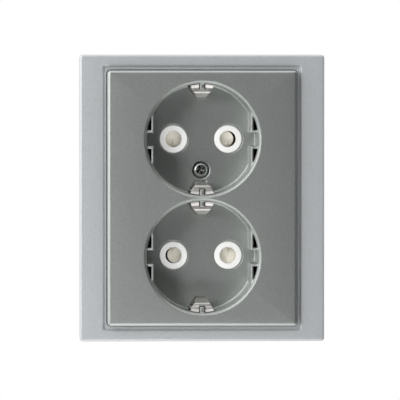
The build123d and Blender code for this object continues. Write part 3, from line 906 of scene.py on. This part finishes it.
def flag_cloth():
    """Black cloth of the flags."""
    material = bpy.data.materials.new("Flag Cloth")
    material.use_nodes = True
    shader = material.node_tree.nodes["Principled BSDF"]
    shader.inputs["Base Color"].default_value = opaque((FLAG_GREY, FLAG_GREY, FLAG_GREY))
    shader.inputs["Roughness"].default_value = 1.0
    return material


def dark_flag(name, span, place, target, material):
    """Square card that faces a point and is seen in reflections alone."""
    bm = bmesh.new()
    bmesh.ops.create_grid(bm, x_segments=1, y_segments=1, size=0.5)
    bmesh.ops.scale(bm, verts=bm.verts[:], vec=(span, span, 1.0))
    aim = (Vector(target) - Vector(place)).to_track_quat("Z", "Y").to_matrix().to_4x4()
    bmesh.ops.transform(bm, matrix=Matrix.Translation(place) @ aim, verts=bm.verts[:])
    mesh = bpy.data.meshes.new(name)
    bm.to_mesh(mesh)
    bm.free()
    mesh.materials.append(material)
    card = bpy.data.objects.new(name, mesh)
    bpy.context.scene.collection.objects.link(card)
    card.visible_camera = False
    card.visible_diffuse = False
    card.visible_shadow = False


def soft_box(name, watts, place, target, size):
    """Square lamp aimed at a point."""
    lamp = bpy.data.lights.new(name, "AREA")
    lamp.size = size
    lamp.energy = watts
    box = bpy.data.objects.new(name, lamp)
    box.location = place
    box.rotation_mode = "QUATERNION"
    box.rotation_quaternion = (Vector(target) - Vector(place)).to_track_quat("-Z", "Y")
    box.visible_camera = False
    bpy.context.scene.collection.objects.link(box)


def off_axis(off, around):
    """Direction at an angle off the socket's axis, turned round it from the right upwards."""
    off, around = math.radians(off), math.radians(around)
    return Vector(
        (math.sin(off) * math.cos(around), -math.cos(off), math.sin(off) * math.sin(around))
    )


def white_room(level):
    """World that is white to look at and gives a soft even light."""
    world = bpy.data.worlds.new("Studio Room")
    bpy.context.scene.world = world
    world.use_nodes = True
    tree = world.node_tree
    tree.nodes.clear()
    path = add_node(tree, "ShaderNodeLightPath").outputs
    seen = combine(tree, path["Is Camera Ray"], path["Is Glossy Ray"], "MAXIMUM")
    seen = combine(tree, seen, path["Is Transmission Ray"], "MAXIMUM")
    strength = spread(tree, seen, level, 1.0)
    sky = add_node(
        tree, "ShaderNodeBackground", {"Color": (1.0, 1.0, 1.0, 1.0), "Strength": strength}
    )
    out = add_node(tree, "ShaderNodeOutputWorld")
    tree.links.new(sky.outputs[0], out.inputs["Surface"])


def pale_floor(height, radius):
    """Round pale floor that fades out into the white room."""
    bm = bmesh.new()
    bmesh.ops.create_circle(bm, cap_ends=True, segments=FLOOR_STEPS, radius=radius)
    bmesh.ops.translate(bm, verts=bm.verts[:], vec=(0, 0, height))
    mesh = bpy.data.meshes.new("pale_floor")
    bm.to_mesh(mesh)
    bm.free()
    material = bpy.data.materials.new("Pale Floor")
    material.use_nodes = True
    tree = material.node_tree
    shader = tree.nodes["Principled BSDF"]
    shader.inputs["Roughness"].default_value = 0.9
    shader.inputs["Base Color"].default_value = opaque((FLOOR_GREY, FLOOR_GREY, FLOOR_GREY))
    flat = add_node(
        tree, "ShaderNodeVectorMath", {0: place_of(tree), 1: (1.0, 1.0, 0.0)}, operation="MULTIPLY"
    ).outputs["Vector"]
    reach = add_node(tree, "ShaderNodeVectorMath", {0: flat}, operation="LENGTH").outputs["Value"]
    fade = add_node(
        tree,
        "ShaderNodeMapRange",
        {
            "Value": reach,
            "From Min": radius * FLOOR_FADE_START,
            "From Max": radius,
            "To Min": 1.0,
            "To Max": 0.0,
        },
    ).outputs["Result"]
    tree.links.new(fade, shader.inputs["Alpha"])
    mesh.materials.append(material)
    floor = bpy.data.objects.new("pale_floor", mesh)
    bpy.context.scene.collection.objects.link(floor)


class SOCKET_OT_studio(bpy.types.Operator):
    """White room, pale floor, dark flags, soft boxes and the camera"""

    bl_idname = "socket.studio"
    bl_label = "Studio"

    def execute(self, context):
        studio = context.scene.socket_studio
        low = cad_box[0]
        face = Vector((0.0, low.y, 0.0))
        white_room(studio.room_light)
        pale_floor(low.z - studio.floor_drop, FLOOR_RADIUS)
        cloth = flag_cloth()
        for name, place, span in FLAGS:
            dark_flag(name, span, place, face, cloth)
        for name, setting, off, around, distance, size in LAMPS:
            place = face + distance * off_axis(off, around)
            soft_box(name, getattr(studio, setting), place, face, size)
        scene = context.scene
        scene.view_settings.view_transform = "Standard"
        lens = bpy.data.cameras.new("Camera")
        lens.sensor_width = SENSOR_WIDTH
        lens.lens = studio.camera_lens
        lens.clip_start, lens.clip_end = 0.05, 20.0
        camera = bpy.data.objects.new("Camera", lens)
        target = Vector((studio.aim_x, low.y, studio.aim_z))
        swing, tilt = studio.camera_swing, studio.camera_tilt
        back = Vector(
            (-math.sin(swing) * math.cos(tilt), -math.cos(swing) * math.cos(tilt), math.sin(tilt))
        )
        camera.location = target + back * studio.camera_distance
        camera.rotation_mode = "QUATERNION"
        camera.rotation_quaternion = (-back).to_track_quat("-Z", "Y")
        scene.collection.objects.link(camera)
        scene.camera = camera
        return {"FINISHED"}


STEPS = (
    SOCKET_OT_shells,
    SOCKET_OT_carrier,
    SOCKET_OT_earth_path,
    SOCKET_OT_contacts,
    SOCKET_OT_base,
    SOCKET_OT_plate,
    SOCKET_OT_screws,
    SOCKET_OT_springs,
    SOCKET_OT_studio,
)


class SOCKET_PT_panel(bpy.types.Panel):
    """Steps and settings of the twin wall socket"""

    bl_idname = "SOCKET_PT_panel"
    bl_label = "Twin Wall Socket"
    bl_space_type = "VIEW_3D"
    bl_region_type = "UI"
    bl_category = "Socket"

    def draw(self, context):
        for step in STEPS:
            self.layout.operator(step.bl_idname)
        for key in SETTINGS:
            settings = getattr(context.scene, key)
            box = self.layout.box()
            for prop in settings.__annotations__:
                box.prop(settings, prop)


SETTINGS = {
    "socket_finishes": SocketFinishes,
    "socket_details": SocketDetails,
    "socket_studio": SocketStudio,
}
CLASSES = (*SETTINGS.values(), *STEPS, SOCKET_PT_panel)


def register():
    """Add the settings, the steps and the panel."""
    for cls in CLASSES:
        bpy.utils.register_class(cls)
    for key, cls in SETTINGS.items():
        setattr(bpy.types.Scene, key, PointerProperty(type=cls))


def unregister():
    """Take them out again."""
    for key in SETTINGS:
        delattr(bpy.types.Scene, key)
    for cls in reversed(CLASSES):
        bpy.utils.unregister_class(cls)


def main():
    """Dress every piece and set up the studio."""
    register()
    bpy.ops.socket.shells()
    bpy.ops.socket.carrier()
    bpy.ops.socket.earth_path()
    bpy.ops.socket.contacts()
    bpy.ops.socket.base()
    bpy.ops.socket.plate()
    bpy.ops.socket.screws()
    bpy.ops.socket.springs()
    bpy.ops.socket.studio()


if __name__ == "__main__":
    main()
